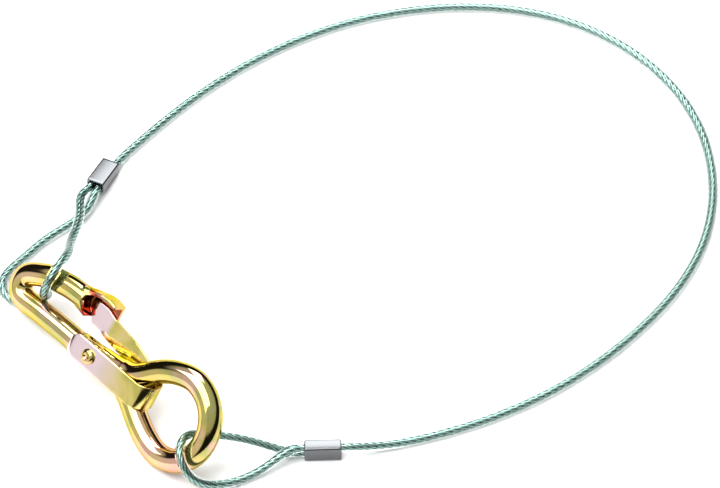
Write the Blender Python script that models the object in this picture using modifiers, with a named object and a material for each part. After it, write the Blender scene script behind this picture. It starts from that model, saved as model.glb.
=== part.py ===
"""Round wire spring hook on a coated wire rope whose two eyes are pressed into ferrules."""
import math

import bpy
import numpy as np
from mathutils import Matrix, Vector

MM = 0.001

# ---- hook body: bent round rod --------------------------------------------------------
ROD_R = 5.0                 # radius of the round rod
RING_R = 17.55              # ring eye, radius to the middle of the rod
RING_X = 3.66               # ring centre, to the gate side of the spine
BEND_R = 5.6                # top bend, radius to the middle of the rod
SHANK_L = 91.4              # ring centre to bend centre
BEND_X = 4.7                # bend centre, to the gate side of the spine
NOSE_X = 17.4               # nose leg, to the gate side of the spine
STUB_X = 2.95               # tapered rod end that is welded along the spine
STUB_TOP = 56.5             # how far that end runs up the spine
STUB_TIP = 0.58             # share of the rod radius left at its tip

# ---- nose cup that catches the spring leaf --------------------------------------------
CUP_BOTTOM = 48.2           # open lower edge
CUP_NECK = 66.0             # where the cup runs out into the round rod
CUP_HALF_W = 7.3            # half width at the widest place
CUP_BACK = 4.8              # back face, behind the hook's middle plane
CUP_FRONT = 2.8             # front rim, in front of the middle plane
CUP_WALL = 1.9
CUP_FLOOR = 2.4             # floor thickness
CUP_EDGE = 0.7              # rounded outer edges

# ---- spring strip ---------------------------------------------------------------------
STRIP_T = 1.0
STRIP_W = 10.3
LEAF_W = 9.8
STRIP_X = 1.2               # middle of the riveted leg, to the gate side of the spine
STRIP_TOP = 58.0            # rounded upper end of the riveted leg
NECK_TOP = 28.18            # top of the wedge between the ring's two branches
NECK_SLOPE = 0.6            # how fast that wedge widens on each side, going down
LEAF_LEAN = 0.31            # sideways travel of the free leg for each mm upward
LEAF_KINK = 36.3            # where the free leg starts to rise to the cup
LEAF_SIDE = 9.77            # middle of the free leg at that place
LEAF_CREASE = 48.2          # where it levels out inside the cup
LEAF_TIP = 60.0
LEAF_X = 15.0               # middle of the leaf tip inside the cup
SPLIT = 42.5                # bending place of the leaf, modelled as a hinge
SPLIT_GAP = 0.4

# ---- rivet ----------------------------------------------------------------------------
RIVET_Y = 46.4
RIVET_R = 2.0
HEAD_R = 3.3
HEAD_H = 1.8
TAIL_R = 3.0
TAIL_H = 1.2

# ---- wire rope and ferrules -----------------------------------------------------------
ROPE_R = 2.0                # outside of the clear sheath
BARE_R = 1.5                # bare strands, pressed inside a ferrule
FERRULE_L = 15.0
FERRULE_W = 8.0
FERRULE_T = 5.4
FERRULE_EDGE = 0.8
LEG_GAP = 0.36              # between the two strands inside a ferrule

# ---- fits -----------------------------------------------------------------------------
GAP = 0.3                   # between pieces that touch
SEAT_GAP = 0.35             # strip to rod, leaf to cup floor
RIVET_CLEAR = 0.3           # round the rivet's shank

# ---- how it lies ----------------------------------------------------------------------
LEAN = math.radians(48.5)   # hook leans on its edge over the rope
PITCH = math.radians(3.4)   # bend end a little lower than the ring end

RING_FERRULE_AT = (41.6, -44.7, 4.1)
RING_FERRULE_DIR = (0.757, -0.654, 0.0)
BEND_FERRULE_AT = (67.4, 121.9, 4.3)
BEND_FERRULE_DIR = (0.910, 0.379, -0.165)

# rope route in mm, from the ring eye round the big loop to the bend eye
RING_EYE = [(33.8, -37.7, 2.2), (19.9, -21.8, 8.4), (7.0, -11.7, 13.9), (0.5, -9.8, 17.6),
            (-5.7, -12.2, 19.1), (-9.7, -17.6, 16.9), (-9.3, -23.2, 11.2), (-3.2, -27.4, 5.1),
            (16.0, -34.1, 2.7), (31.3, -37.2, 6.2)]
BIG_LOOP = [(60.4, -58.3, 3.4), (84.0, -70.6, 2.1), (125.0, -84.2, 2.1), (176.0, -87.6, 2.1),
            (232.2, -72.6, 2.1), (276.0, -22.0, 2.1), (275.0, 46.0, 2.1), (232.0, 98.3, 2.1),
            (175.0, 123.8, 2.1), (120.0, 128.8, 2.1), (89.7, 126.4, 2.1)]
BEND_EYE = [(51.4, 113.4, 3.6), (31.2, 113.7, 2.3), (16.0, 112.7, 2.1), (0.6, 108.4, 2.2),
            (-1.6, 98.6, 2.1), (4.4, 91.1, 3.6), (6.7, 85.4, 12.2), (3.2, 82.2, 17.3),
            (2.0, 80.9, 22.2), (4.1, 80.5, 27.5), (9.9, 81.8, 30.7), (18.6, 86.0, 27.7),
            (27.5, 94.8, 19.3), (43.4, 108.3, 11.4), (53.8, 118.9, 6.7)]


def clear_scene():
    for obj in list(bpy.data.objects):
        bpy.data.objects.remove(obj, do_unlink=True)


def make_collections():
    parts = bpy.data.collections.new("snap_hook_cable")
    cutters = bpy.data.collections.new("cutters")
    bpy.context.scene.collection.children.link(parts)
    bpy.context.scene.collection.children.link(cutters)
    cutters.hide_render = True
    return parts, cutters


def material(name, color, metallic, roughness):
    mat = bpy.data.materials.new(name)
    mat.use_nodes = True
    shader = mat.node_tree.nodes["Principled BSDF"]
    shader.inputs["Base Color"].default_value = (*color, 1.0)
    shader.inputs["Metallic"].default_value = metallic
    shader.inputs["Roughness"].default_value = roughness
    return mat


def empty(name, parts, parent=None):
    obj = bpy.data.objects.new(name, None)
    obj.empty_display_size = 0.01
    parts.objects.link(obj)
    obj.parent = parent
    return obj


# ---- curves ---------------------------------------------------------------------------
def smooth_line(points, start_dir, end_dir, step):
    """Cubic spline through the points that leaves and arrives along the given directions."""
    p = np.array(points, float)
    n = len(p)
    chord = np.linalg.norm(np.diff(p, axis=0), axis=1)
    t = np.r_[0, np.cumsum(chord ** 0.75)]
    h = np.diff(t)
    a = np.zeros((n, n))
    b = np.zeros((n, 3))
    a[0, 0], a[0, 1] = 2 * h[0], h[0]
    b[0] = 6 * ((p[1] - p[0]) / h[0] - np.array(start_dir) * chord[0] / h[0])
    a[-1, -1], a[-1, -2] = 2 * h[-1], h[-1]
    b[-1] = 6 * (np.array(end_dir) * chord[-1] / h[-1] - (p[-1] - p[-2]) / h[-1])
    for i in range(1, n - 1):
        a[i, i - 1:i + 2] = h[i - 1], 2 * (h[i - 1] + h[i]), h[i]
        b[i] = 6 * ((p[i + 1] - p[i]) / h[i] - (p[i] - p[i - 1]) / h[i - 1])
    m = np.linalg.solve(a, b)
    u = np.linspace(0, t[-1], max(60, int(chord.sum() * 6)))
    k = np.clip(np.searchsorted(t, u, side="right") - 1, 0, n - 2)
    left, right, hk = (t[k + 1] - u)[:, None], (u - t[k])[:, None], h[k][:, None]
    line = (m[k] * left ** 3 + m[k + 1] * right ** 3) / (6 * hk)
    line += (p[k] / hk - m[k] * hk / 6) * left + (p[k + 1] / hk - m[k + 1] * hk / 6) * right
    return even_steps(line, step)


def even_steps(line, step):
    s = np.r_[0, np.cumsum(np.linalg.norm(np.diff(line, axis=0), axis=1))]
    marks = np.linspace(0, s[-1], max(2, int(round(s[-1] / step)) + 1))
    return np.stack([np.interp(marks, s, line[:, c]) for c in range(3)], 1)


def bend_steps(line, tight, open_step, fine=None):
    """Thin a fine line out: short steps where it turns or is fine, long ones elsewhere."""
    s = np.r_[0, np.cumsum(np.linalg.norm(np.diff(line, axis=0), axis=1))]
    way = np.gradient(line, s, axis=0)
    turn = np.linalg.norm(np.gradient(way, s, axis=0), axis=1)
    step = np.clip(0.4 / np.maximum(turn, 1e-6), tight, open_step)
    if fine is not None:
        step[fine] = np.minimum(step[fine], tight)
    for _ in range(3):
        step = np.minimum(step, np.roll(step, 1) + 0.5)
        step = np.minimum(step, np.roll(step, -1) + 0.5)
    dose = np.r_[0, np.cumsum(np.diff(s) / (0.5 * (step[1:] + step[:-1])))]
    marks = np.interp(np.linspace(0, dose[-1], int(math.ceil(dose[-1])) + 1), dose, s)
    return np.stack([np.interp(marks, s, line[:, c]) for c in range(3)], 1)


def tube(name, line, radius, shares, sides_level):
    """Closed round tube along a line in mm; shares scale the radius point by point."""
    curve = bpy.data.curves.new(name, "CURVE")
    curve.dimensions = "3D"
    curve.bevel_depth = radius * MM
    curve.bevel_resolution = sides_level
    curve.use_fill_caps = True
    spline = curve.splines.new("POLY")
    spline.points.add(len(line) - 1)
    for point, place, share in zip(spline.points, line, shares):
        point.co = (*(Vector(place) * MM), 1.0)
        point.radius = share
    return curve_to_mesh(name, curve)


def plate(name, outlines, low, high):
    """Flat outline in mm, filled and pulled from low to high along Z."""
    curve = bpy.data.curves.new(name, "CURVE")
    curve.dimensions = "2D"
    curve.fill_mode = "BOTH"
    curve.extrude = 0.5 * (high - low) * MM
    for outline in outlines:
        spline = curve.splines.new("POLY")
        spline.points.add(len(outline) - 1)
        for point, (x, y) in zip(spline.points, outline):
            point.co = (x * MM, y * MM, 0.0, 1.0)
        spline.use_cyclic_u = True
    mesh = curve_to_mesh(name, curve)
    mesh.transform(Matrix.Translation((0, 0, 0.5 * (high + low) * MM)))
    return mesh


def curve_to_mesh(name, curve):
    import bmesh
    obj = bpy.data.objects.new(name, curve)
    bpy.context.scene.collection.objects.link(obj)
    bpy.context.view_layer.update()
    graph = bpy.context.evaluated_depsgraph_get()
    mesh = bpy.data.meshes.new_from_object(obj.evaluated_get(graph))
    bpy.data.objects.remove(obj, do_unlink=True)
    bpy.data.curves.remove(curve)
    work = bmesh.new()
    work.from_mesh(mesh)
    bmesh.ops.remove_doubles(work, verts=work.verts, dist=1e-6)
    bmesh.ops.recalc_face_normals(work, faces=work.faces)
    work.to_mesh(mesh)
    work.free()
    mesh.name = name
    return mesh


def add_part(name, mesh, mat, parts, parent):
    obj = bpy.data.objects.new(name, mesh)
    parts.objects.link(obj)
    obj.parent = parent
    mesh.materials.clear()
    mesh.materials.append(mat)
    return obj


def add_cutter(name, mesh, cutters, parent):
    obj = bpy.data.objects.new(name, mesh)
    cutters.objects.link(obj)
    obj.parent = parent
    obj.hide_render = True
    obj.display_type = "WIRE"
    return obj


def boolean(obj, other, operation, self_union=False):
    mod = obj.modifiers.new(other.name, "BOOLEAN")
    mod.operation = operation
    mod.solver = "EXACT"
    mod.use_self = self_union
    mod.object = other


def bevel(obj, width, segments, angle=40):
    mod = obj.modifiers.new("rounded_edges", "BEVEL")
    mod.width = width * MM
    mod.segments = segments
    mod.limit_method = "ANGLE"
    mod.angle_limit = math.radians(angle)


# ---- hook body ------------------------------------------------------------------------
def arc(cx, cy, radius, start, stop, count):
    angles = np.radians(np.linspace(start, stop, count))
    return [(cx + radius * math.cos(a), cy + radius * math.sin(a)) for a in angles]


def rod_line():
    """Middle line of the rod: nose leg, top bend, spine, ring and the welded end."""
    top, start = SHANK_L, CUP_NECK - 6.0
    leg = top - 6.4 - start
    nose = [(NOSE_X, start), (NOSE_X - 0.1, start + 0.336 * leg),
            (NOSE_X - 0.8, start + 0.6 * leg), (NOSE_X - 2.0, start + 0.84 * leg),
            (NOSE_X - 3.0, start + leg), (NOSE_X - 5.1, top - 1.8)]
    bend = arc(BEND_X, top, BEND_R, 38, 180, 6)
    spine = [(-0.6, top - 7.4), (-0.2, top - 15.4), (0, top - 25.4), (0, 52), (0, 40)]
    neck = [(-0.5, 31.5), (-3.0, 24.2), (RING_X - 0.716 * RING_R, 14.4)]
    ring = arc(RING_X, -0.3, RING_R, 158, 382, 13)[1:-1]
    weld = [(RING_X + 0.714 * RING_R, 13.9), (10.7, 20.4), (5.4, 27.0), (STUB_X + 0.45, 34),
            (STUB_X, 42), (STUB_X - 0.05, 50), (STUB_X - 0.05, STUB_TOP)]
    flat = nose + bend + spine + neck + ring + weld
    points = [(x, y, 0.0) for x, y in flat]
    return smooth_line(points, (0, 1, 0), (0, 1, 0), 1.0)


def rod_mesh():
    line = bend_steps(rod_line(), 1.9, 5.0)
    s = np.r_[0, np.cumsum(np.linalg.norm(np.diff(line, axis=0), axis=1))]
    taper_from = s[-1] - (STUB_TOP - 31.0)
    share = 1.0 - (1.0 - STUB_TIP) * np.clip((s - taper_from) / (s[-1] - taper_from), 0, 1)
    return tube("rod", line, ROD_R, share, 6)


def cup_outline(inset=0.0):
    """Right half from the lower edge to the neck, mirrored; inset gives the cavity."""
    rise = CUP_NECK - CUP_BOTTOM
    half = [(CUP_HALF_W - 0.7, 0.0), (CUP_HALF_W, 0.27), (CUP_HALF_W - 0.4, 0.5),
            (CUP_HALF_W - 1.5, 0.72), (ROD_R + 0.1, 0.88), (ROD_R - 0.6, 1.0)]
    right = [(NOSE_X + w - inset, CUP_BOTTOM + f * rise) for w, f in half]
    left = [(NOSE_X - w + inset, y) for (w, _), (_, y) in zip(half, right)]
    return right + left[::-1]


def cavity_outline():
    top = CUP_NECK - CUP_WALL - 0.6
    right = [(x, y) for x, y in cup_outline(CUP_WALL)[:4]]
    out = [(right[0][0], CUP_BOTTOM - 2.0)] + right + [(NOSE_X + 2.6, top - 0.4), (NOSE_X, top)]
    out += [(NOSE_X - 3.0, top - 0.8), (NOSE_X - ROD_R, top - 3.0)]
    return out + [(NOSE_X - CUP_HALF_W - 3.0, top - 3.0), (NOSE_X - CUP_HALF_W - 3.0, CUP_BOTTOM - 2.0)]


def hook_body(parts, cutters, pose, mat):
    obj = add_part("hook_body", rod_mesh(), mat, parts, pose)
    cup = add_cutter("cup_solid", plate("cup_solid", [cup_outline()], -CUP_BACK, CUP_FRONT),
                     cutters, pose)
    bevel(cup, CUP_EDGE, 2, 50)
    boolean(obj, cup, "UNION", self_union=True)
    cavity = plate("cup_cavity", [cavity_outline()], -CUP_BACK + CUP_FLOOR, ROD_R + 2.0)
    boolean(obj, add_cutter("cup_cavity", cavity, cutters, pose), "DIFFERENCE")
    hole = plate("spine_hole", [arc(STRIP_X, RIVET_Y, RIVET_R + RIVET_CLEAR, 0, 345, 24)],
                 -ROD_R - 3.0, ROD_R + 3.0)
    boolean(obj, add_cutter("spine_hole", hole, cutters, pose), "DIFFERENCE")
    return obj


# ---- spring strip ---------------------------------------------------------------------
def strip_half_gap():
    return ROD_R + SEAT_GAP + STRIP_T / 2


def leaf_height(y):
    """Height of the free leg's middle plane: flat behind the rod, then rising to the cup."""
    back = -strip_half_gap()
    seat = -CUP_BACK + CUP_FLOOR + SEAT_GAP + STRIP_T / 2
    share = np.clip((y - LEAF_KINK) / (LEAF_CREASE - LEAF_KINK), 0, 1)
    return back + (seat - back) * share


def turn_centre():
    """The strip turns where the ring's neck is wide enough for it."""
    return NECK_TOP - STRIP_W / 2 / NECK_SLOPE


def leaf_middle(y):
    return min(LEAF_SIDE + LEAF_LEAN * (y - LEAF_KINK), LEAF_X)


def sheet(name, rows, thickness, side_points):
    """Grid of rows across the strip, thickened evenly to both sides."""
    verts, faces = [], []
    across = side_points
    for row in rows:
        verts += [tuple(Vector(p) * MM) for p in row]
    for i in range(len(rows) - 1):
        for j in range(across - 1):
            k = i * across + j
            faces.append((k, k + 1, k + across + 1, k + across))
    mesh = bpy.data.meshes.new(name)
    mesh.from_pydata(verts, [], faces)
    mesh.update()
    return mesh


def cross_row(x, y, z, half, dip=0.0):
    return [(x + f * half, y + dip * f * f, z) for f in (-1, -0.5, 0, 0.5, 1)]


def near_leg_rows():
    """Riveted leg, from its rounded upper end down to the turn."""
    z, half = strip_half_gap(), STRIP_W / 2
    rows = []
    for share in (0.0, 0.15, 0.4, 0.7, 1.0):
        y = STRIP_TOP - 3.5 * share
        narrow = half - 3.5 * (1 - math.sqrt(1 - (1 - share) ** 2))
        rows.append(cross_row(STRIP_X, y, z, narrow))
    rows += [cross_row(STRIP_X, y, z, half) for y in (50.0, RIVET_Y, 42.0, 34.0, 27.0)]
    return rows


def turn_rows():
    """Half circle round the neck of the ring, drifting to the gate side."""
    rows = []
    radius, end_x = strip_half_gap(), leaf_middle(turn_centre())
    for a in np.linspace(90, 270, 13):
        c, s = math.cos(math.radians(a)), math.sin(math.radians(a))
        share = (a - 90) / 180
        rows.append(cross_row(STRIP_X + (end_x - STRIP_X) * share,
                              turn_centre() + radius * c, radius * s, STRIP_W / 2))
    return rows


def free_leg_rows(low, high):
    marks = [y for y in (24.0, 30.0, LEAF_KINK, 39.0, 45.0, LEAF_CREASE, 52.0, 56.0)
             if low + 0.5 < y < high - 0.5]
    rows = []
    for y in [low] + marks + [high]:
        half = (STRIP_W if y < LEAF_KINK else LEAF_W) / 2
        rows.append(cross_row(leaf_middle(y), y, leaf_height(y), half))
    return rows


def thicken(obj):
    mod = obj.modifiers.new("thickness", "SOLIDIFY")
    mod.thickness = STRIP_T * MM
    mod.offset = 0.0
    mod.use_even_offset = True


def spring_clip(parts, cutters, pose, mat):
    rows = near_leg_rows() + turn_rows() + free_leg_rows(turn_centre(), SPLIT - SPLIT_GAP / 2)[1:]
    obj = add_part("spring_clip", sheet("spring_clip", rows, STRIP_T, 5), mat, parts, pose)
    thicken(obj)
    hole = plate("clip_hole", [arc(STRIP_X, RIVET_Y, RIVET_R + RIVET_CLEAR, 0, 345, 24)],
                 2.0, ROD_R + 4.0)
    boolean(obj, add_cutter("clip_hole", hole, cutters, pose), "DIFFERENCE")
    return obj


def gate_leaf(parts, pose, mat):
    hinge = empty("gate_hinge", parts, pose)
    at = Vector((leaf_middle(SPLIT), SPLIT, leaf_height(SPLIT)))
    hinge.location = at * MM
    rows = free_leg_rows(SPLIT + SPLIT_GAP / 2, LEAF_TIP - 1.4)
    tip_z = rows[-1][0][2]
    for lift, half in ((0.7, 0.93), (1.15, 0.75), (1.4, 0.5)):
        rows.append(cross_row(LEAF_X, LEAF_TIP - 1.4 + lift, tip_z, half * LEAF_W / 2))
    mesh = sheet("gate_leaf", rows, STRIP_T, 5)
    mesh.transform(Matrix.Translation(-at * MM))
    obj = add_part("gate_leaf", mesh, mat, parts, hinge)
    thicken(obj)
    return obj


# ---- rivet ----------------------------------------------------------------------------
def rivet(parts, pose, mat):
    top = strip_half_gap() + STRIP_T / 2 + GAP
    low = -ROD_R - GAP
    profile = [(0.0, top + HEAD_H), (HEAD_R * 0.45, top + HEAD_H * 0.93),
               (HEAD_R * 0.8, top + HEAD_H * 0.62), (HEAD_R, top + 0.25), (HEAD_R, top),
               (RIVET_R, top), (RIVET_R, low), (TAIL_R, low), (TAIL_R, low - TAIL_H * 0.5),
               (TAIL_R * 0.7, low - TAIL_H * 0.9), (0.0, low - TAIL_H)]
    mesh = bpy.data.meshes.new("rivet")
    verts = [(x * MM, 0.0, z * MM) for x, z in profile]
    mesh.from_pydata(verts, [(i, i + 1) for i in range(len(verts) - 1)], [])
    obj = add_part("rivet", mesh, mat, parts, pose)
    obj.location = (STRIP_X * MM, RIVET_Y * MM, 0.0)
    mod = obj.modifiers.new("turned", "SCREW")
    mod.axis = "Z"
    mod.steps = mod.render_steps = 24
    mod.use_merge_vertices = True
    mod.merge_threshold = 0.00001
    mod.use_smooth_shade = True
    return obj


# ---- ferrules and rope ----------------------------------------------------------------
def rounded_box(half_w, half_t, edge, steps=4):
    out = []
    for cx, cy, start in ((1, 1, 0), (-1, 1, 90), (-1, -1, 180), (1, -1, 270)):
        for k in range(steps + 1):
            a = math.radians(start + 90 * k / steps)
            out.append((cx * (half_w - edge) + edge * math.cos(a),
                        cy * (half_t - edge) + edge * math.sin(a)))
    return out


def leg_offset():
    return BARE_R + LEG_GAP / 2


def ferrule_axes(direction, standing):
    """Length axis, the axis along which the two strands stand apart, and the thin axis."""
    along = Vector(direction).normalized()
    side = Vector((0, 0, 1)).cross(along).normalized()
    apart = along.cross(side).normalized() if standing else side
    return along, apart, along.cross(apart).normalized()


def ferrule(name, place, direction, standing, parts, lay, mat):
    along, apart, thin = ferrule_axes(direction, standing)
    hole_w = leg_offset() + BARE_R + GAP
    hole_t = BARE_R + GAP
    outlines = [rounded_box(FERRULE_W / 2, FERRULE_T / 2, FERRULE_EDGE),
                rounded_box(hole_w, hole_t, hole_t - 0.01, 6)]
    mesh = plate(name, outlines, -FERRULE_L / 2, FERRULE_L / 2)
    obj = add_part(name, mesh, mat, parts, lay)
    turn = Matrix((apart, thin, -along if apart.cross(thin).dot(along) < 0 else along)).transposed()
    obj.matrix_local = Matrix.Translation(Vector(place) * MM) @ turn.to_4x4()
    return obj


def straight(a, b, step=2.0):
    a, b = np.array(a), np.array(b)
    n = max(2, int(round(np.linalg.norm(b - a) / step)) + 1)
    return a + (b - a) * np.linspace(0, 1, n)[:, None]


def rope_line():
    """Cut end in one ferrule, ring eye, big loop, bend eye, cut end in the other ferrule."""
    reach, tail = FERRULE_L / 2 + 0.7, FERRULE_L / 2 - 0.5
    ra, rs, _ = (np.array(v) for v in ferrule_axes(RING_FERRULE_DIR, True))
    ba, bs, _ = (np.array(v) for v in ferrule_axes(BEND_FERRULE_DIR, False))
    ring, bend = np.array(RING_FERRULE_AT), np.array(BEND_FERRULE_AT)
    rs = rs * (1 if rs[2] > 0 else -1) * leg_offset()
    bs = bs * (1 if bs[1] > 0 else -1) * leg_offset()
    cut_a, out_a = ring - rs + ra * tail, ring - rs - ra * reach
    in_a, leave_a = ring + rs - ra * reach, ring + rs + ra * reach
    in_b, out_b = bend - bs + ba * reach, bend - bs - ba * reach
    back_b, cut_b = bend + bs - ba * reach, bend + bs + ba * tail
    eye_a = smooth_line([out_a, *RING_EYE, in_a], -ra, ra, 0.5)
    loop = smooth_line([leave_a, *BIG_LOOP, in_b], ra, -ba, 0.5)
    eye_b = smooth_line([out_b, *BEND_EYE, back_b], -ba, ba, 0.5)
    runs = [straight(cut_a, out_a, 0.5), eye_a[1:], straight(in_a, leave_a, 0.5)[1:], loop[1:],
            straight(in_b, out_b, 0.5)[1:], eye_b[1:], straight(back_b, cut_b, 0.5)[1:]]
    return np.vstack(runs), ((ring, ra), (bend, ba))


def along_ferrule(line, place, along):
    """Distance along the ferrule from its middle, for the points that pass near it."""
    away = line - place
    run = np.abs(away @ along)
    off = np.linalg.norm(away - np.outer(away @ along, along), axis=1)
    return np.where((off < 6) & (run < FERRULE_L), run, np.inf)


def wire_rope(parts, lay, mat):
    line, ferrules = rope_line()
    face = FERRULE_L / 2
    at_face = [np.abs(along_ferrule(line, *f) - face - 2.5) < 4.0 for f in ferrules]
    line = bend_steps(line, 3.2, 17.0, at_face[0] | at_face[1])
    share = np.ones(len(line))
    bare = BARE_R / ROPE_R
    for f in ferrules:
        grow = bare + (1 - bare) * np.clip((along_ferrule(line, *f) - face - 2.0) / 4.0, 0, 1)
        share = np.minimum(share, grow)
    mesh = tube("wire_rope", line, ROPE_R, share, 2)
    return add_part("wire_rope", mesh, mat, parts, lay)


# ---- assembly -------------------------------------------------------------------------
def world_box(objects):
    graph = bpy.context.evaluated_depsgraph_get()
    low, high = np.full(3, 1e9), np.full(3, -1e9)
    for obj in objects:
        seen = obj.evaluated_get(graph)
        for v in seen.data.vertices:
            p = np.array(obj.matrix_world @ v.co)
            low, high = np.minimum(low, p), np.maximum(high, p)
    return low, high


def finish_surfaces(objects):
    for obj in objects:
        obj.data.shade_smooth()
        obj.data.set_sharp_from_angle(angle=math.radians(38))


def main():
    clear_scene()
    parts, cutters = make_collections()
    zinc = material("yellow_zinc", (0.78, 0.62, 0.28), 1.0, 0.18)
    spring = material("spring_steel_yellow_zinc", (0.80, 0.66, 0.36), 1.0, 0.2)
    stud = material("rivet_yellow_zinc", (0.62, 0.52, 0.34), 1.0, 0.25)
    sleeve = material("bare_aluminium", (0.72, 0.73, 0.73), 1.0, 0.32)
    cable = material("clear_coated_steel_rope", (0.20, 0.30, 0.28), 0.3, 0.25)

    lay = empty("lay", parts)
    pose = empty("hook_pose", parts, lay)
    pose.rotation_mode = "YXZ"
    pose.rotation_euler = (-PITCH, -LEAN, 0.0)

    hook = [hook_body(parts, cutters, pose, zinc), spring_clip(parts, cutters, pose, spring),
            gate_leaf(parts, pose, spring), rivet(parts, pose, stud)]
    ferrule("ferrule_ring_end", RING_FERRULE_AT, RING_FERRULE_DIR, True, parts, lay, sleeve)
    ferrule("ferrule_bend_end", BEND_FERRULE_AT, BEND_FERRULE_DIR, False, parts, lay, sleeve)
    wire_rope(parts, lay, cable)

    bpy.context.view_layer.update()
    pose.location.z -= world_box(hook)[0][2]
    bpy.context.view_layer.update()
    low, high = world_box(hook)
    lay.location = (-0.5 * (low[0] + high[0]), -0.5 * (low[1] + high[1]), 0.0)
    bpy.context.view_layer.update()
    finish_surfaces([o for o in parts.objects if o.type == "MESH" and o.name != "rivet"])


main()
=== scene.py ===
import math

import bmesh
import bpy
import numpy as np
from mathutils import Matrix, Vector


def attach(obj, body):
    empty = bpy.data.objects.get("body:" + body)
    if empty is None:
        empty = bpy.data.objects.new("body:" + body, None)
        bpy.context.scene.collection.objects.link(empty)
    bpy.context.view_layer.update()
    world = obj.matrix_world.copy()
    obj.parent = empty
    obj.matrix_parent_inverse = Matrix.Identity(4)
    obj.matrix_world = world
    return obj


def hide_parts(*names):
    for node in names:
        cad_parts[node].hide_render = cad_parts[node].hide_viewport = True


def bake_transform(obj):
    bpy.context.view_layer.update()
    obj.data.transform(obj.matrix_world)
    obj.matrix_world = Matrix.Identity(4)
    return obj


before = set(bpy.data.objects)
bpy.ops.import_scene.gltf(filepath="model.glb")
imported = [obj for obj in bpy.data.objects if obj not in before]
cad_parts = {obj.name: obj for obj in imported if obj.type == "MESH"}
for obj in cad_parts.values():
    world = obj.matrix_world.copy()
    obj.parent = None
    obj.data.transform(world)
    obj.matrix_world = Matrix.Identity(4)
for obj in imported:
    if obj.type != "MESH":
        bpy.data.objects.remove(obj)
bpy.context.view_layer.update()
mm = 0.001  # the pieces below are worked out in millimetres

# how the hook lies: leaned about its length, pitched, lifted off the floor and shifted
lay = {"shift": (-2.8046, -39.5886), "lift": 15.3363, "lean": 48.5, "pitch": 3.4}
hookPlace = np.array([lay["shift"][0], lay["shift"][1], lay["lift"]])
ropePlace = np.array([lay["shift"][0], lay["shift"][1], 0.0])


# the camera comes first
cameraSetup = {"target": (0.12222, -0.01556, 0.0), "forward": (0.4070, 0.4434, -0.7986),
               "up": (0.5401, 0.5883, 0.6018), "distance": 1.8, "lens": 214.8,
               "sensor": 36.0, "farthest": 20.0}


def makeCamera(s):
    forward, up = Vector(s["forward"]).normalized(), Vector(s["up"]).normalized()
    right = forward.cross(up).normalized()
    up = right.cross(forward)
    data = bpy.data.cameras.new("camera")
    data.lens = s["lens"]
    data.sensor_width = s["sensor"]
    data.clip_end = s["farthest"]
    camera = bpy.data.objects.new("camera", data)
    bpy.context.scene.collection.objects.link(camera)
    turn = Matrix((right, up, -forward)).transposed().to_4x4()
    camera.matrix_world = Matrix.Translation(Vector(s["target"]) - forward * s["distance"]) @ turn
    bpy.context.scene.camera = camera


makeCamera(cameraSetup)
print("camera made")


def hookToWorld(points):
    # turn about Y by the lean, then about X by the pitch, then lift and shift
    a, b = math.radians(lay["lean"]), math.radians(lay["pitch"])
    aboutY = np.array([[math.cos(a), 0, -math.sin(a)], [0, 1, 0], [math.sin(a), 0, math.cos(a)]])
    aboutX = np.array([[1, 0, 0], [0, math.cos(b), math.sin(b)], [0, -math.sin(b), math.cos(b)]])
    return (np.asarray(points) @ (aboutX @ aboutY).T + hookPlace) * mm


def addMesh(name, verts, faces, material):
    mesh = bpy.data.meshes.new(name)
    mesh.from_pydata(np.asarray(verts, float).tolist(), [], faces)
    mesh.shade_smooth()
    mesh.materials.append(material)
    return addObject(name, mesh)


def addObject(name, data):
    obj = bpy.data.objects.new(name, data)
    bpy.context.scene.collection.objects.link(obj)
    return obj


def gridFaces(rows, across):
    # quads between neighbouring rows, where the last column joins the first
    i = np.arange(rows - 1)[:, None]
    j = np.arange(across)[None, :]
    k = (j + 1) % across
    quads = np.stack([i * across + j, i * across + k, (i + 1) * across + k, (i + 1) * across + j], -1)
    return quads.reshape(-1, 4)


def splineThrough(points, startDir, endDir, step):
    # cubic spline with given end directions, read at even steps along its length
    p = np.array(points, float)
    n = len(p)
    chord = np.linalg.norm(np.diff(p, axis=0), axis=1)
    t = np.r_[0, np.cumsum(chord ** 0.75)]
    h = np.diff(t)
    a, b = np.zeros((n, n)), np.zeros((n, 3))
    a[0, 0], a[0, 1] = 2 * h[0], h[0]
    b[0] = 6 * ((p[1] - p[0]) / h[0] - np.array(startDir) * chord[0] / h[0])
    a[-1, -1], a[-1, -2] = 2 * h[-1], h[-1]
    b[-1] = 6 * (np.array(endDir) * chord[-1] / h[-1] - (p[-1] - p[-2]) / h[-1])
    for i in range(1, n - 1):
        a[i, i - 1:i + 2] = h[i - 1], 2 * (h[i - 1] + h[i]), h[i]
        b[i] = 6 * ((p[i + 1] - p[i]) / h[i] - (p[i] - p[i - 1]) / h[i - 1])
    m = np.linalg.solve(a, b)
    u = np.linspace(0, t[-1], max(60, int(chord.sum() * 12)))
    k = np.clip(np.searchsorted(t, u, side="right") - 1, 0, n - 2)
    left, right, hk = (t[k + 1] - u)[:, None], (u - t[k])[:, None], h[k][:, None]
    line = (m[k] * left ** 3 + m[k + 1] * right ** 3) / (6 * hk)
    line += (p[k] / hk - m[k] * hk / 6) * left + (p[k + 1] / hk - m[k + 1] * hk / 6) * right
    return evenSteps(line, step)


def evenSteps(line, step):
    s = np.r_[0, np.cumsum(np.linalg.norm(np.diff(line, axis=0), axis=1))]
    marks = np.linspace(0, s[-1], max(2, int(round(s[-1] / step)) + 1))
    return np.stack([np.interp(marks, s, line[:, c]) for c in range(line.shape[1])], 1)


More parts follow.
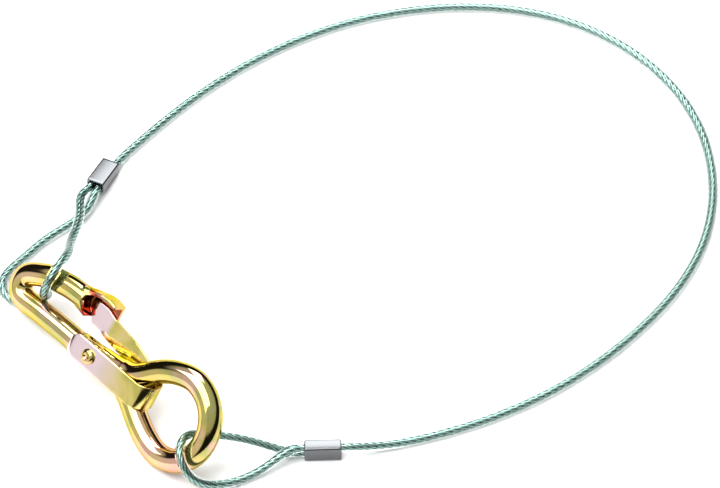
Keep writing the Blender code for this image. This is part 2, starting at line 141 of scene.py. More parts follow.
def shaderOf(name, color, metallic, roughness, **more):
    material = bpy.data.materials.new(name)
    material.use_nodes = True
    shader = material.node_tree.nodes["Principled BSDF"]
    shader.inputs["Base Color"].default_value = (*color, 1.0)
    shader.inputs["Metallic"].default_value = metallic
    shader.inputs["Roughness"].default_value = roughness
    for key, value in more.items():
        shader.inputs[key.replace("_", " ")].default_value = value
    return material


def nodesOf(material):
    tree = material.node_tree
    return tree.nodes, tree.links, tree.nodes["Principled BSDF"]


def yellowZinc(name, z):
    # cloudy film: noise picks a colour from the stops; a per-vertex share mixes in a second colour, which
    # is painted shade in the cup and a painted highlight on the strip
    material = shaderOf(name, (0.80, 0.64, 0.30), 1.0, z["roughness"])
    nodes, links, shader = nodesOf(material)
    shader.inputs["Specular Tint"].default_value = (0.80, 0.66, 0.24, 1.0)
    where = nodes.new("ShaderNodeTexCoord")
    cloud = nodes.new("ShaderNodeTexNoise")
    cloud.inputs["Scale"].default_value = z["cloudScale"]
    cloud.inputs["Detail"].default_value = 2.5
    cloud.inputs["Distortion"].default_value = 0.6
    links.new(where.outputs["Object"], cloud.inputs["Vector"])
    film = rampOf(nodes, [(place, (*color, 1.0)) for place, color in z["stops"]])
    links.new(cloud.outputs["Fac"], film.inputs["Fac"])
    share = nodes.new("ShaderNodeAttribute")
    share.attribute_name = "paintedLight"
    paintedLight = nodes.new("ShaderNodeMix")
    paintedLight.data_type = "RGBA"
    paintedLight.inputs["B"].default_value = (*z["over"], 1.0)
    links.new(share.outputs["Fac"], paintedLight.inputs["Factor"])
    links.new(film.outputs["Color"], paintedLight.inputs["A"])
    links.new(paintedLight.outputs["Result"], shader.inputs["Base Color"])
    fine = nodes.new("ShaderNodeTexNoise")
    fine.inputs["Scale"].default_value = 900.0
    fine.inputs["Detail"].default_value = 3.0
    links.new(where.outputs["Object"], fine.inputs["Vector"])
    bump = nodes.new("ShaderNodeBump")
    bump.inputs["Strength"].default_value = z["grain"]
    bump.inputs["Distance"].default_value = 0.00003
    links.new(fine.outputs["Fac"], bump.inputs["Height"])
    links.new(bump.outputs["Normal"], shader.inputs["Normal"])
    return material


def rampOf(nodes, stops):
    # colour ramp with the given places and colours
    ramp = nodes.new("ShaderNodeValToRGB")
    ends = ramp.color_ramp.elements
    while len(ends) < len(stops):
        ends.new(0.5)
    for element, (place, color) in zip(ends, stops):
        element.position = place
        element.color = color
    return ramp


rodStops = [(0.30, (0.60, 0.33, 0.27)), (0.43, (0.62, 0.43, 0.24)), (0.52, (0.50, 0.40, 0.12)),
            (0.60, (0.36, 0.36, 0.12)), (0.72, (0.62, 0.36, 0.30))]
stripStops = [(0.32, (0.72, 0.58, 0.26)), (0.46, (0.66, 0.55, 0.17)), (0.58, (0.48, 0.44, 0.11)),
              (0.70, (0.68, 0.46, 0.20))]
rodFinish = {"stops": rodStops, "cloudScale": 45.0, "grain": 0.10, "roughness": 0.07,
             "over": (0.30, 0.045, 0.03)}  # painted shade: dark red in the space inside the cup
stripFinish = {"stops": stripStops, "cloudScale": 70.0, "grain": 0.25, "roughness": 0.12,
               "over": (0.80, 0.64, 0.67)}  # painted highlight: pale pink by the rivet and at the leaf's end
# same dark red painted shade as the cup, but no share of it is marked on the rivet, so it is never seen
rivetFinish = {"stops": rodStops, "cloudScale": 160.0, "grain": 0.10, "roughness": 0.10,
               "over": (0.30, 0.05, 0.03)}
hookZinc = yellowZinc("polishedYellowZinc", rodFinish)
springZinc = yellowZinc("springYellowZinc", stripFinish)
rivetZinc = yellowZinc("rivetYellowZinc", rivetFinish)


def markPaintedLight(mesh, values, name="paintedLight"):
    # one value for each vertex, which the material reads by name
    layer = mesh.attributes.new(name, "FLOAT", "POINT")
    layer.data.foreach_set("value", np.asarray(values, np.float32))


# the rope is a stranded core in a clear sheath; lengths are in millimetres
rope = {"sheathR": 1.99, "coreR": 1.5, "wireR": 1.3, "insideR": 1.62, "around": 28, "step": 0.8,
        "strands": 6, "strandR": 0.45, "layLength": 19.0, "narrowFrom": 0.8, "narrowOver": 5.0}
ferruleBox = {"length": 15.0, "width": 8.0, "thick": 5.4, "edge": 0.85, "reach": 0.7, "legGap": 0.36,
              "lip": 0.45, "slack": 0.3,
              "ringAt": (41.6, -44.7, 4.1), "ringDir": (0.757, -0.654, 0.0),
              "bendAt": (67.4, 121.9, 4.3), "bendDir": (0.910, 0.379, -0.165)}
ringEye = [(33.8, -37.7, 2.2), (19.9, -21.8, 8.4), (7.0, -11.7, 13.9), (0.5, -9.8, 17.6),
           (-5.7, -12.2, 19.1), (-9.7, -17.6, 16.9), (-9.3, -23.2, 11.2), (-3.2, -27.4, 5.1),
           (16.0, -34.1, 2.7), (31.3, -37.2, 6.2)]
bigLoop = [(60.4, -58.3, 3.4), (84.0, -70.6, 2.1), (125.0, -84.2, 2.1), (176.0, -87.6, 2.1),
           (232.2, -72.6, 2.1), (276.0, -22.0, 2.1), (275.0, 46.0, 2.1), (232.0, 98.3, 2.1),
           (175.0, 123.8, 2.1), (120.0, 128.8, 2.1), (89.7, 126.4, 2.1)]
bendEye = [(51.4, 113.4, 3.6), (31.2, 113.7, 2.3), (16.0, 112.7, 2.1), (0.6, 108.4, 2.2),
           (-1.6, 98.6, 2.1), (4.4, 91.1, 3.6), (6.7, 85.4, 12.2), (3.2, 82.2, 17.3),
           (2.0, 80.9, 22.2), (4.1, 80.5, 27.5), (9.9, 81.8, 30.7), (18.6, 86.0, 27.7),
           (27.5, 94.8, 19.3), (43.4, 108.3, 11.4), (53.8, 118.9, 6.7)]


def ferruleAxes(direction, standing):
    # along the rope, from one leg to the other, and square to both
    along = Vector(direction).normalized()
    side = Vector((0, 0, 1)).cross(along).normalized()
    apart = along.cross(side).normalized() if standing else side
    return np.array(along), np.array(apart), np.array(along.cross(apart).normalized())


def ropeRoute():
    # cut end, ring eye, big loop, bend eye, cut end; straight inside both ferrules
    f = ferruleBox
    reach, tail = f["length"] / 2 + f["reach"], f["length"] / 2 - 0.5
    ra, rs, _ = ferruleAxes(f["ringDir"], True)
    ba, bs, _ = ferruleAxes(f["bendDir"], False)
    ring, bend = np.array(f["ringAt"]), np.array(f["bendAt"])
    offset = rope["coreR"] + f["legGap"] / 2
    rs = rs * np.sign(rs[2]) * offset
    bs = bs * np.sign(bs[1]) * offset
    stops = [ring - rs + ra * tail, ring - rs - ra * reach, ring + rs - ra * reach,
             ring + rs + ra * reach, bend - bs + ba * reach, bend - bs - ba * reach,
             bend + bs - ba * reach, bend + bs + ba * tail]
    runs = [np.linspace(stops[0], stops[1], 32),
            splineThrough([stops[1], *ringEye, stops[2]], -ra, ra, 0.25)[1:],
            np.linspace(stops[2], stops[3], 34)[1:],
            splineThrough([stops[3], *bigLoop, stops[4]], ra, -ba, 0.25)[1:],
            np.linspace(stops[4], stops[5], 34)[1:],
            splineThrough([stops[5], *bendEye, stops[6]], -ba, ba, 0.25)[1:],
            np.linspace(stops[6], stops[7], 32)[1:]]
    return np.vstack(runs), ((ring, ra), (bend, ba))


def carriedAxes(line):
    # side and up vectors carried along the line without twist
    way = np.gradient(line, axis=0)
    way /= np.linalg.norm(way, axis=1)[:, None]
    side = np.zeros_like(way)
    start = np.cross(way[0], (0, 0, 1.0))
    side[0] = start / np.linalg.norm(start)
    for i in range(1, len(line)):
        v = side[i - 1] - (side[i - 1] @ way[i]) * way[i]
        side[i] = v / np.linalg.norm(v)
    return side, np.cross(way, side)


def ferruleShare(line, places):
    # 0 inside a ferrule, rising to 1 just outside it
    share = np.ones(len(line))
    for place, along in places:
        away = line - place
        run = np.abs(away @ along)
        off = np.linalg.norm(away - np.outer(away @ along, along), axis=1)
        grow = np.clip((run - ferruleBox["length"] / 2 - rope["narrowFrom"]) / rope["narrowOver"], 0, 1)
        inReach = (off < ferruleBox["width"] - 2) & (run < ferruleBox["length"])
        share = np.where(inReach, np.minimum(share, grow), share)
    return share * share * (3 - 2 * share)


def tubeAlong(name, line, radii, material):
    # radii is rows x angles; ring i stands square on the line, poles close both ends
    side, up = carriedAxes(line)
    n, m = radii.shape
    angle = np.linspace(0, 2 * np.pi, m, endpoint=False)
    ring = side[:, None] * np.cos(angle)[None, :, None] + up[:, None] * np.sin(angle)[None, :, None]
    verts = (line[:, None] + ring * radii[:, :, None]).reshape(-1, 3)
    faces = gridFaces(n, m)
    verts = np.vstack([verts, line[:1], line[-1:]])
    first, last = n * m, n * m + 1
    j = np.arange(m)
    k = (j + 1) % m
    startCap = np.stack([np.full(m, first), k, j], 1).tolist()
    endCap = np.stack([np.full(m, last), j + (n - 1) * m, k + (n - 1) * m], 1).tolist()
    return addMesh(name, (verts + ropePlace) * mm, faces.tolist() + startCap + endCap, material)


def ropePieces():
    line, places = ropeRoute()
    line = evenSteps(line, rope["step"])
    share = ferruleShare(line, places)
    sheathR = rope["insideR"] + (rope["sheathR"] - rope["insideR"]) * share
    radii = np.repeat(sheathR[:, None], rope["around"], 1)
    sheath = tubeAlong("ropeSheath", line, radii, sheathMaterial)
    s = np.arange(len(line)) * np.linalg.norm(np.diff(line, axis=0), axis=1).mean()
    angle = np.linspace(0, 2 * np.pi, 42, endpoint=False)[None, :]
    pitch = 2 * np.pi / rope["strands"]
    local = (angle - 2 * np.pi * s[:, None] / rope["layLength"] + pitch / 2) % pitch - pitch / 2
    centre, thick = rope["wireR"] - rope["strandR"], rope["strandR"]
    inside = np.maximum(thick ** 2 - (centre * np.sin(local)) ** 2, 0.01)
    radii = centre * np.cos(local) + np.sqrt(inside)
    strands = tubeAlong("ropeStrands", line, radii, strandMaterial)
    # painted shade: 0 in the grooves between the strands, 1 on their crowns
    strandShade = (radii - radii.min()) / (radii.max() - radii.min())
    markPaintedLight(strands.data, np.r_[strandShade.ravel(), 0.0, 0.0], "strandShade")
    length = float(np.linalg.norm(np.diff(line, axis=0), axis=1).sum()) * mm
    path = (line + ropePlace) * mm
    return sheath, strands, length, path


sheathMaterial = shaderOf("clearSheath", (0.90, 0.98, 0.95), 0.0, 0.03, IOR=1.16,
                          Transmission_Weight=1.0)


def makeStrandMaterial():
    # painted shade: dark in the grooves between the strands, lighter on their crowns
    material = shaderOf("steelStrands", (0.2, 0.3, 0.28), 1.0, 0.26)
    nodes, links, shader = nodesOf(material)
    share = nodes.new("ShaderNodeAttribute")
    share.attribute_name = "strandShade"
    ramp = rampOf(nodes, [(0.2, (0.025, 0.065, 0.055, 1.0)), (0.95, (0.30, 0.42, 0.39, 1.0))])
    links.new(share.outputs["Fac"], ramp.inputs["Fac"])
    links.new(ramp.outputs["Color"], shader.inputs["Base Color"])
    return material


strandMaterial = makeStrandMaterial()
sheath, strands, ropeLength, ropePath = ropePieces()
print("rope made", round(ropeLength, 4), "m")


ferruleMaterial = shaderOf("pressedAluminium", (0.12, 0.125, 0.13), 1.0, 0.18)


def roundedLoop(halfW, halfT, edge, steps):
    # rectangle with four rounded corners
    corners = []
    for cx, cy, start in ((1, 1, 0), (-1, 1, 90), (-1, -1, 180), (1, -1, 270)):
        a = np.radians(start + np.linspace(0, 90, steps + 1))
        corners.append(np.stack([cx * (halfW - edge) + edge * np.cos(a),
                                 cy * (halfT - edge) + edge * np.sin(a)], 1))
    return np.vstack(corners)


def makeFerrule(name, place, direction, standing):
    # loops run along the outside, round each mouth and back through the hole, as one closed skin
    f = ferruleBox
    along, apart, thin = ferruleAxes(direction, standing)
    hole = 2 * rope["coreR"] + f["legGap"] / 2 + f["slack"]
    steps, lip, half = 6, f["lip"], f["length"] / 2
    slack = f["slack"]
    rows = []
    for t in np.linspace(0, 1, 5):
        a = t * math.pi / 2
        inset = lip * (1 - math.sin(a))
        rows.append((f["width"] / 2 - inset, f["thick"] / 2 - inset, -half + lip * (1 - math.cos(a))))
    sides = [(f["width"] / 2, f["thick"] / 2, x) for x in np.linspace(-half + 1.2, half - 1.2, 9)]
    mirror = [(w, t, -x) for w, t, x in rows[::-1]]
    outer = rows + sides + mirror
    inner = [(hole, rope["coreR"] + slack, x) for x in (half, half - slack, 0.0, slack - half, -half)]
    verts = []
    for w, t, x in outer + inner:
        edge = min(f["edge"], t - 0.02) if (w, t, x) not in inner else t - 0.02
        loop = roundedLoop(w, t, edge, steps)
        verts.append(np.array(place) + loop[:, :1] * apart + loop[:, 1:] * thin + along * x)
    n, m = len(verts), len(verts[0])
    j, lastRow = np.arange(m), (n - 1) * m
    k = (j + 1) % m
    joining = np.stack([lastRow + j, lastRow + k, k, j], 1)
    faces = np.vstack([gridFaces(n, m), joining]).tolist()
    return addMesh(name, (np.vstack(verts) + ropePlace) * mm, faces, ferruleMaterial)


def fixNormals(obj):
    # joined, facing outwards, smooth but for the sharp edges
    work = bmesh.new()
    work.from_mesh(obj.data)
    bmesh.ops.remove_doubles(work, verts=work.verts, dist=1e-7)
    bmesh.ops.recalc_face_normals(work, faces=work.faces)
    work.to_mesh(obj.data)
    work.free()
    obj.data.shade_smooth()
    obj.data.set_sharp_from_angle(angle=math.radians(40))


ringFerrule = makeFerrule("ringFerrule", ferruleBox["ringAt"], ferruleBox["ringDir"], True)
bendFerrule = makeFerrule("bendFerrule", ferruleBox["bendAt"], ferruleBox["bendDir"], False)
for obj, node in ((ringFerrule, "ferrule_ring_end"), (bendFerrule, "ferrule_bend_end")):
    fixNormals(obj)
    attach(obj, "hook")
    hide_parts(node)
for obj in (sheath, strands):
    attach(obj, "hook")
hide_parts("wire_rope")
print("ferrules made")


# the spring strip is one piece: riveted leg, turn, free leg and leaf
strip = {"thick": 1.0, "width": 10.3, "leafWidth": 9.8, "x": 1.2, "top": 58.0, "gap": 5.85,
         "turn": 19.597, "kink": 36.3, "crease": 48.2, "tip": 60.0, "side": 9.77, "lean": 0.31,
         "leafX": 15.0, "back": -5.85, "seat": -1.55, "edge": 0.3, "topRound": 3.6, "tipRound": 3.2,
         "tipNarrow": 2.4, "tipDip": 0.12, "narrowFrom": 30.0, "narrowOver": 6.0,
         "highlightFrom": (27.0, 47.5), "highlightOver": (14.0, 2.0),  # where the pale pink painted highlight starts and over what length it rises: riveted leg, then free leg
         "bends": [(9.7, 38.0, -5.2), (12.9, 46.6, -2.2)]}  # where the leaf's bending starts and ends


def stripPath():
    # middle of the strip: x, y, z, half width, at even steps from the rounded end to the leaf tip
    s = strip
    rows = []
    for t in np.linspace(0, 1, 14):
        y = s["top"] - s["topRound"] * (1 - math.cos(t * math.pi / 2))
        w = s["width"] / 2 - s["topRound"] * (1 - math.sin(t * math.pi / 2))
        rows.append((s["x"], y, s["gap"], w))
    for y in np.arange(s["top"] - 4.5, s["turn"], -1.0):
        rows.append((s["x"], y, s["gap"], s["width"] / 2))
    endX = s["side"] + s["lean"] * (s["turn"] - s["kink"])
    for a in np.linspace(90, 270, 41):
        share = (a - 90) / 180
        rows.append((s["x"] + (endX - s["x"]) * share, s["turn"] + s["gap"] * math.cos(math.radians(a)),
                     s["gap"] * math.sin(math.radians(a)), s["width"] / 2))
    for y in np.arange(s["turn"] + 0.8, s["tip"] - s["tipRound"], 0.8):
        rise = min(max((y - s["kink"]) / (s["crease"] - s["kink"]), 0), 1)
        x = min(s["side"] + s["lean"] * (y - s["kink"]), s["leafX"])
        narrow = min(max((y - s["narrowFrom"]) / s["narrowOver"], 0), 1)
        w = s["width"] / 2 + (s["leafWidth"] - s["width"]) / 2 * narrow
        rows.append((x, y, s["back"] + (s["seat"] - s["back"]) * rise, w))
    for t in np.linspace(0, 1, 16)[1:]:
        y = s["tip"] - s["tipRound"] + s["tipRound"] * math.sin(t * math.pi / 2)
        w = s["leafWidth"] / 2 - s["tipNarrow"] * (1 - math.cos(t * math.pi / 2)) ** 1.5
        rows.append((s["leafX"], y, s["seat"] - s["tipDip"] * t * t, w))
    smooth = np.array(rows)  # the turn and the kinks are eased, both ends are left as they are
    for _ in range(2):
        smooth[20:-18, :3] = (smooth[19:-19, :3] + 2 * smooth[20:-18, :3] + smooth[21:-17, :3]) / 4
    return smooth


def makeStrip():
    # rounded rectangle carried along the middle line, flat faces square to the bending plane
    rows = stripPath()
    way = np.gradient(rows[:, 1:3], axis=0)
    way /= np.linalg.norm(way, axis=1)[:, None]
    out = np.stack([way[:, 1], -way[:, 0]], 1)
    half, edge = strip["thick"] / 2, strip["edge"]
    corner = roundedLoop(1.0, half, edge, 3)  # sides at -1 and 1, moved out to the strip's own
    n, m = len(rows), len(corner)
    verts = np.zeros((n, m, 3))
    across = np.sign(corner[:, 0])
    inset = 1.0 - np.abs(corner[:, 0])
    verts[:, :, 0] = rows[:, :1] + across * (rows[:, 3:4] - inset)
    verts[:, :, 1] = rows[:, 1:2] + out[:, :1] * corner[:, 1]
    verts[:, :, 2] = rows[:, 2:3] + out[:, 1:] * corner[:, 1]
    capA = np.arange(m)[::-1].tolist()
    capB = ((n - 1) * m + np.arange(m)).tolist()
    faces = gridFaces(n, m).tolist() + [capA, capB]
    obj = addMesh("springStrip", hookToWorld(verts.reshape(-1, 3)), faces, springZinc)
    # painted highlight: a pale pink share rising up the riveted leg and towards the leaf's tip
    y, z = verts[:, :, 1].ravel(), verts[:, :, 2].ravel()
    start = np.where(z > 0, *strip["highlightFrom"])
    markPaintedLight(obj.data, np.clip((y - start) / np.where(z > 0, *strip["highlightOver"]), 0, 1))
    fixNormals(obj)
    return obj


springStrip = makeStrip()
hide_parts("spring_clip", "gate_leaf")
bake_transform(springStrip)
print("spring strip made")


rivetShape = {"x": 1.2, "y": 46.4, "headR": 3.3, "headH": 1.75, "dimpleR": 1.5, "dimple": 0.75,
              "seat": 6.36, "tailR": 3.0, "tailH": 1.2, "tailEdge": 0.6, "tail": -5.05,
              "shankR": 2.0, "point": 1e-5}


def turned(name, profile, centre, material, around=56):
    # profile of radius and height turned about the hook's Z axis
    angle = np.linspace(0, 2 * np.pi, around, endpoint=False)
    profile = np.asarray(profile, float)
    x = centre[0] + profile[:, :1] * np.cos(angle)
    y = centre[1] + profile[:, :1] * np.sin(angle)
    z = np.repeat(profile[:, 1:], around, 1)
    verts = hookToWorld(np.stack([x, y, z], -1).reshape(-1, 3))
    obj = addMesh(name, verts, gridFaces(len(profile), around).tolist(), material)
    fixNormals(obj)
    return obj


def makeRivet():
    r = rivetShape
    t = np.linspace(0, 1, 9)
    dish = [(r["dimpleR"] * a + r["point"], r["seat"] + r["headH"] - r["dimple"] * (1 - a * a)) for a in t]
    span = r["headR"] - r["dimpleR"]
    rim = [(r["dimpleR"] + span * math.sin(a), r["seat"] + r["headH"] * math.cos(a) ** 0.8)
           for a in np.linspace(0.08, math.pi / 2, 14)]
    shank = [(r["shankR"], r["seat"]), (r["shankR"], r["tail"])]
    tail = [(r["tailR"], r["tail"]), (r["tailR"] - 0.1, r["tail"] - r["tailEdge"])]
    dome = [(r["tailR"] * math.cos(a),
             r["tail"] - r["tailEdge"] - (r["tailH"] - r["tailEdge"]) * math.sin(a))
            for a in np.linspace(0.3, math.pi / 2 - r["point"], 8)]
    return turned("rivet", dish + rim + shank + tail + dome, (r["x"], r["y"]), rivetZinc)


rivet = makeRivet()
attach(rivet, "hook")
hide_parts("rivet")
print("rivet made")

# the hook body is the part's own solid, remeshed and pulled onto a smooth rod, cup and hole
hook = {"rodR": 5.0, "ringR": 17.55, "ringX": 3.66, "bendR": 5.6, "bendX": 4.7, "shank": 91.4,
        "noseX": 17.4, "cupLow": 48.2, "cupNeck": 66.0, "cupHalf": 7.3, "cupBack": 4.8, "cupFront": 2.8,
        "wall": 1.9, "floor": 2.4, "round": 0.7, "stubX": 2.95, "stubTop": 56.5, "stubTip": 0.58,
        "holeR": 2.3, "holeX": 1.2, "holeY": 46.4, "voxel": 0.42, "weld": 1.5, "blend": 1.4, "edge": 0.5,
        "cupShadeMiddle": (17.4, 54.0, 0.4), "cupShadeHalf": (5.7, 9.3, 3.0)}  # the space in the cup, which gets the dark red painted shade


def arcPoints(x, y, radius, start, stop, count):
    # points on a circle about x, y, from one angle to another
    angles = np.radians(np.linspace(start, stop, count))
    return [(x + radius * math.cos(a), y + radius * math.sin(a)) for a in angles]


def rodLine():
    # nose leg, top bend, spine, neck, ring and the welded end, all in one plane
    h = hook
    n, top, start = h["noseX"], h["shank"], h["cupNeck"] - 6.0
    leg = top - 6.4 - start
    flat = [(n, start), (n - 0.1, start + 0.336 * leg), (n - 0.8, start + 0.6 * leg),
            (n - 2.0, start + 0.84 * leg), (n - 3.0, start + leg), (n - 5.1, top - 1.8)]
    flat += arcPoints(h["bendX"], top, h["bendR"], 38, 180, 6)
    flat += [(-0.6, top - 7.4), (-0.2, top - 15.4), (0, top - 25.4), (0, 52), (0, 40)]
    flat += [(-0.5, 31.5), (-3.0, 24.2), (h["ringX"] - 0.716 * h["ringR"], 14.4)]
    flat += arcPoints(h["ringX"], -0.3, h["ringR"], 158, 382, 13)[1:-1]
    flat += [(h["ringX"] + 0.714 * h["ringR"], 13.9), (10.7, 20.4), (5.4, 27.0), (h["stubX"] + 0.45, 34),
             (h["stubX"], 42), (h["stubX"] - 0.05, 50), (h["stubX"] - 0.05, h["stubTop"])]
    return splineThrough([(x, y, 0.0) for x, y in flat], (0, 1, 0), (0, 1, 0), 0.5)


def nearestPiece(p, line):
    # which piece of the middle line each point belongs to, from a coarse search
    coarse = line[::6, :2]
    found = np.zeros(len(p), int)
    for low in range(0, len(p), 20000):
        q = p[low:low + 20000, :2]
        gap = (q * q).sum(1)[:, None] - 2 * q @ coarse.T + (coarse * coarse).sum(1)
        found[low:low + 20000] = gap.argmin(1) * 6
    return found


def distanceToRod(p, piece, line, radius):
    # distance to the nearest of a few pieces of the middle line, less the radius there
    best = np.full(len(p), 1e9)
    for shift in range(-6, 7):
        i = np.clip(piece + shift, 0, len(line) - 2)
        a, ab = line[i, :2], line[i + 1, :2] - line[i, :2]
        q = p[:, :2] - a
        t = np.clip((q * ab).sum(1) / (ab * ab).sum(1), 0, 1)
        gap = q - t[:, None] * ab
        far = np.sqrt((gap * gap).sum(1) + p[:, 2] ** 2)
        best = np.minimum(best, far - radius[i] - t * (radius[i + 1] - radius[i]))
    return best


def distanceToPlate(p, outline, low, high, edge):
    # rounded plate: signed distance to the outline joined with the distance to its two faces
    q = np.array(outline)
    d, inside = np.full(len(p), 1e9), np.zeros(len(p), bool)
    for a, b in zip(q, np.roll(q, -1, 0)):
        ab = b - a
        t = np.clip(((p[:, :2] - a) @ ab) / (ab @ ab), 0, 1)
        d = np.minimum(d, np.linalg.norm(p[:, :2] - a - t[:, None] * ab, axis=1))
        cross = (a[1] > p[:, 1]) != (b[1] > p[:, 1])
        at = (b[0] - a[0]) * (p[:, 1] - a[1]) / (b[1] - a[1] if b[1] != a[1] else 1e-9) + a[0]
        inside ^= cross & (p[:, 0] < at)
    side = np.where(inside, -d, d) + edge
    face = np.abs(p[:, 2] - (low + high) / 2) - (high - low) / 2 + edge
    return np.minimum(np.maximum(side, face), 0) + np.hypot(np.maximum(side, 0), np.maximum(face, 0)) - edge


def softMin(a, b, k):
    # lower of the two, rounded over the width k where they meet
    share = np.clip(k - np.abs(a - b), 0, None) / k
    return np.minimum(a, b) - share ** 2 * k / 4


def cupAndSpace(q):
    # distances to the solid cup and to the space inside it, which is open below and on the left
    h = hook
    n, low, rise = h["noseX"], h["cupLow"], h["cupNeck"] - h["cupLow"]
    half = [(h["cupHalf"] - 0.7, 0.0), (h["cupHalf"], 0.27), (h["cupHalf"] - 0.4, 0.5),
            (h["cupHalf"] - 1.5, 0.72), (h["rodR"] + 0.1, 0.88), (h["rodR"] - 0.6, 1.0)]
    outline = [(n + w, low + f * rise) for w, f in half]
    outline += [(n - w, low + f * rise) for w, f in half[::-1]]
    cup = distanceToPlate(q, outline, -h["cupBack"], h["cupFront"], h["round"])
    top = h["cupNeck"] - h["wall"] - 0.6
    right = [(x - h["wall"], y) for x, y in outline[:4]]
    farLeft = n - h["cupHalf"] - 5
    space = [(right[0][0], low - 4)] + right
    space += [(n + 2.6, top - 0.4), (n, top), (n - 3.0, top - 0.8), (n - h["rodR"], top - 3)]
    space += [(farLeft, top - 3), (farLeft, low - 4)]
    return cup, distanceToPlate(q, space, -h["cupBack"] + h["floor"], h["rodR"] + 4, h["edge"])


def hookField(p, rod):
    # distance to the whole hook: rod joined to its weld, then the cup on, its space and the hole out
    h = hook
    spine, weld, spineR, weldR, spineAt, weldAt = rod
    k = 0.02 + h["weld"] * np.clip((p[:, 1] - 9) / 8, 0, 1) * np.clip((40 - p[:, 1]) / 12, 0.2, 1)
    d = softMin(distanceToRod(p, spineAt, spine, spineR), distanceToRod(p, weldAt, weld, weldR), k)
    near = (p[:, 0] > h["noseX"] - 12) & (p[:, 1] > h["cupLow"] - 4) & (p[:, 1] < h["cupNeck"] + 8)
    cup, space = cupAndSpace(p[near])
    d[near] = -softMin(-softMin(d[near], cup, h["blend"]), space, h["edge"])
    away = np.hypot(p[:, 0] - h["holeX"], p[:, 1] - h["holeY"])
    around = away < 8
    d[around] = -softMin(-d[around], away[around] - h["holeR"], 0.3)
    return d


def fieldSlope(p, rod, step=0.02):
    slope = np.stack([hookField(p + step * e, rod) - hookField(p - step * e, rod) for e in np.eye(3)], 1)
    return slope / np.maximum(np.linalg.norm(slope, axis=1), 1e-9)[:, None]


def remeshedHook():
    # copy of the part's solid in the hook's own millimetres, cut into even small faces
    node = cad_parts["hook_body"]
    mesh = node.data.copy()
    count = len(mesh.vertices)
    at = np.zeros(count * 3)
    mesh.vertices.foreach_get("co", at)
    at = at.reshape(-1, 3) / mm - hookPlace
    turn = hookToWorld(np.eye(3)) / mm - hookPlace
    mesh.vertices.foreach_set("co", (at @ turn.T).ravel())
    work = bmesh.new()
    work.from_mesh(mesh)
    bmesh.ops.remove_doubles(work, verts=work.verts, dist=1e-4)
    work.to_mesh(mesh)
    work.free()
    temp = addObject("hookCopy", mesh)
    step = temp.modifiers.new("voxels", "REMESH")
    step.mode = "VOXEL"
    step.voxel_size = hook["voxel"] * 1.0
    bpy.context.view_layer.update()
    done = bpy.data.meshes.new_from_object(temp.evaluated_get(bpy.context.evaluated_depsgraph_get()))
    bpy.data.objects.remove(temp)
    bpy.data.meshes.remove(mesh)
    return done


def makeHook():
    # each turn evens the vertices out, then moves them along the slope by their distance
    mesh = remeshedHook()
    count = len(mesh.vertices)
    at = np.zeros(count * 3)
    mesh.vertices.foreach_get("co", at)
    at = at.reshape(-1, 3)
    ends = np.zeros(len(mesh.edges) * 2, int)
    mesh.edges.foreach_get("vertices", ends)
    a, b = ends.reshape(-1, 2).T
    links = np.maximum(np.bincount(a, minlength=count) + np.bincount(b, minlength=count), 1)[:, None]
    line = rodLine()
    split = int(np.argmin(line[:, 1]))
    run = np.r_[0, np.cumsum(np.linalg.norm(np.diff(line, axis=0), axis=1))]
    taper = run[-1] - (hook["stubTop"] - 31.0)
    r = hook["rodR"] * (1 - (1 - hook["stubTip"]) * np.clip((run - taper) / (run[-1] - taper), 0, 1))
    spine, weld = line[:split + 1], line[split:]
    rod = (spine, weld, r[:split + 1], r[split:], nearestPiece(at, spine), nearestPiece(at, weld))
    for turn in range(4):
        if turn < 3:
            total = np.zeros_like(at)
            np.add.at(total, a, at[b])
            np.add.at(total, b, at[a])
            at = at + 0.5 * (total / links - at)
        slope = fieldSlope(at, rod)
        at = at - slope * np.clip(hookField(at, rod), -0.5, 0.5)[:, None]
    slope = fieldSlope(at, rod, 0.05)
    origin = hookToWorld(np.zeros((1, 3)))
    # painted shade: a share rising to 1 in the space inside the cup, where the material mixes in dark red
    off = np.abs(at - np.array(hook["cupShadeMiddle"])) - np.array(hook["cupShadeHalf"])
    mesh.vertices.foreach_set("co", hookToWorld(at).ravel())
    markPaintedLight(mesh, np.clip(0.5 - off.max(1) * 1.6, 0, 1))
    mesh.materials.clear()
    mesh.materials.append(hookZinc)
    mesh.shade_smooth()
    mesh.normals_split_custom_set_from_vertices(((hookToWorld(slope) - origin) / mm).tolist())
    mesh.update()
    return addObject("hookBody", mesh)


hookBody = makeHook()
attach(hookBody, "hook")
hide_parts("hook_body")
print("hook body made", len(hookBody.data.polygons), "faces")


studio = {"floorGrey": 0.95, "floorHalf": 6.0}
softBoxes = [{"name": "keySoftBox", "at": (-0.45, 0.42, 1.55), "aim": (0.12, 0, 0),
              "size": (1.5, 1.7), "power": 42},
             {"name": "backSoftBox", "at": (0.95, 0.85, 1.35), "aim": (0.1, 0.05, 0),
              "size": (1.0, 1.0), "power": 22}]


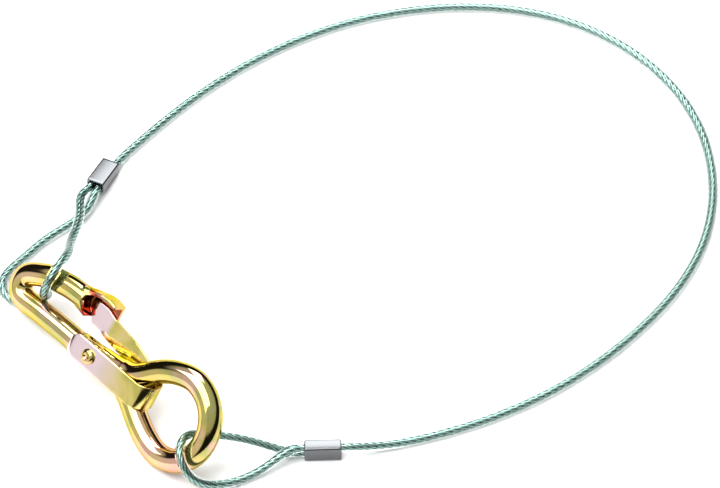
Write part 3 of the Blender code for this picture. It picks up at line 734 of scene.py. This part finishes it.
def makeFloor(s):
    h = s["floorHalf"]
    corners = [(-h, -h, 0), (h, -h, 0), (h, h, 0), (-h, h, 0)]
    mesh = bpy.data.meshes.new("floor")
    mesh.from_pydata(corners, [], [(0, 1, 2, 3)])
    mesh.materials.append(shaderOf("paleFloor", (s["floorGrey"],) * 3, 0.0, 0.6))
    addObject("floor", mesh)


def softBox(s):
    data = bpy.data.lights.new(s["name"], "AREA")
    data.shape = "RECTANGLE"
    data.size, data.size_y = s["size"]
    data.energy = s["power"]
    obj = addObject(s["name"], data)
    obj.location = s["at"]
    obj.rotation_euler = (Vector(s["aim"]) - Vector(s["at"])).to_track_quat("-Z", "Y").to_euler()


def makeWorld(s):
    # pale above, dark round the horizon, with one bright card low on the left
    world = bpy.data.worlds.new("studio")
    bpy.context.scene.world = world
    world.use_nodes = True
    nodes, links = world.node_tree.nodes, world.node_tree.links
    where = nodes.new("ShaderNodeTexCoord")

    def towards(direction, stops):
        # grey level by how nearly a ray goes in this direction
        dot = nodes.new("ShaderNodeVectorMath")
        dot.operation = "DOT_PRODUCT"
        dot.inputs[1].default_value = Vector(direction).normalized()
        ramp = rampOf(nodes, [(place, (grey, grey, grey, 1.0)) for place, grey in stops])
        links.new(where.outputs["Generated"], dot.inputs[0])
        links.new(dot.outputs["Value"], ramp.inputs["Fac"])
        return ramp.outputs["Color"]

    both = nodes.new("ShaderNodeMix")
    both.data_type = "RGBA"
    both.blend_type = "LIGHTEN"
    both.clamp_result = False
    both.inputs["Factor"].default_value = 1.0
    links.new(towards((0, 0, 1), s["sky"]), both.inputs["A"])
    links.new(towards(s["cardAt"], s["card"]), both.inputs["B"])
    links.new(both.outputs["Result"], nodes["Background"].inputs["Color"])
    nodes["Background"].inputs["Strength"].default_value = s["strength"]


sky = {"sky": [(0.0, 0.35), (0.05, 0.01), (0.46, 0.012), (0.58, 0.45), (1.0, 0.6)],
       "cardAt": (-0.88, 0.22, 0.34), "card": [(0.0, 0.0), (0.80, 0.0), (0.88, 0.60), (1.0, 0.66)],
       "strength": 1.6}
makeFloor(studio)
makeWorld(sky)
for box in softBoxes:
    softBox(box)
bpy.context.scene.view_settings.view_transform = "Standard"
print("studio made")
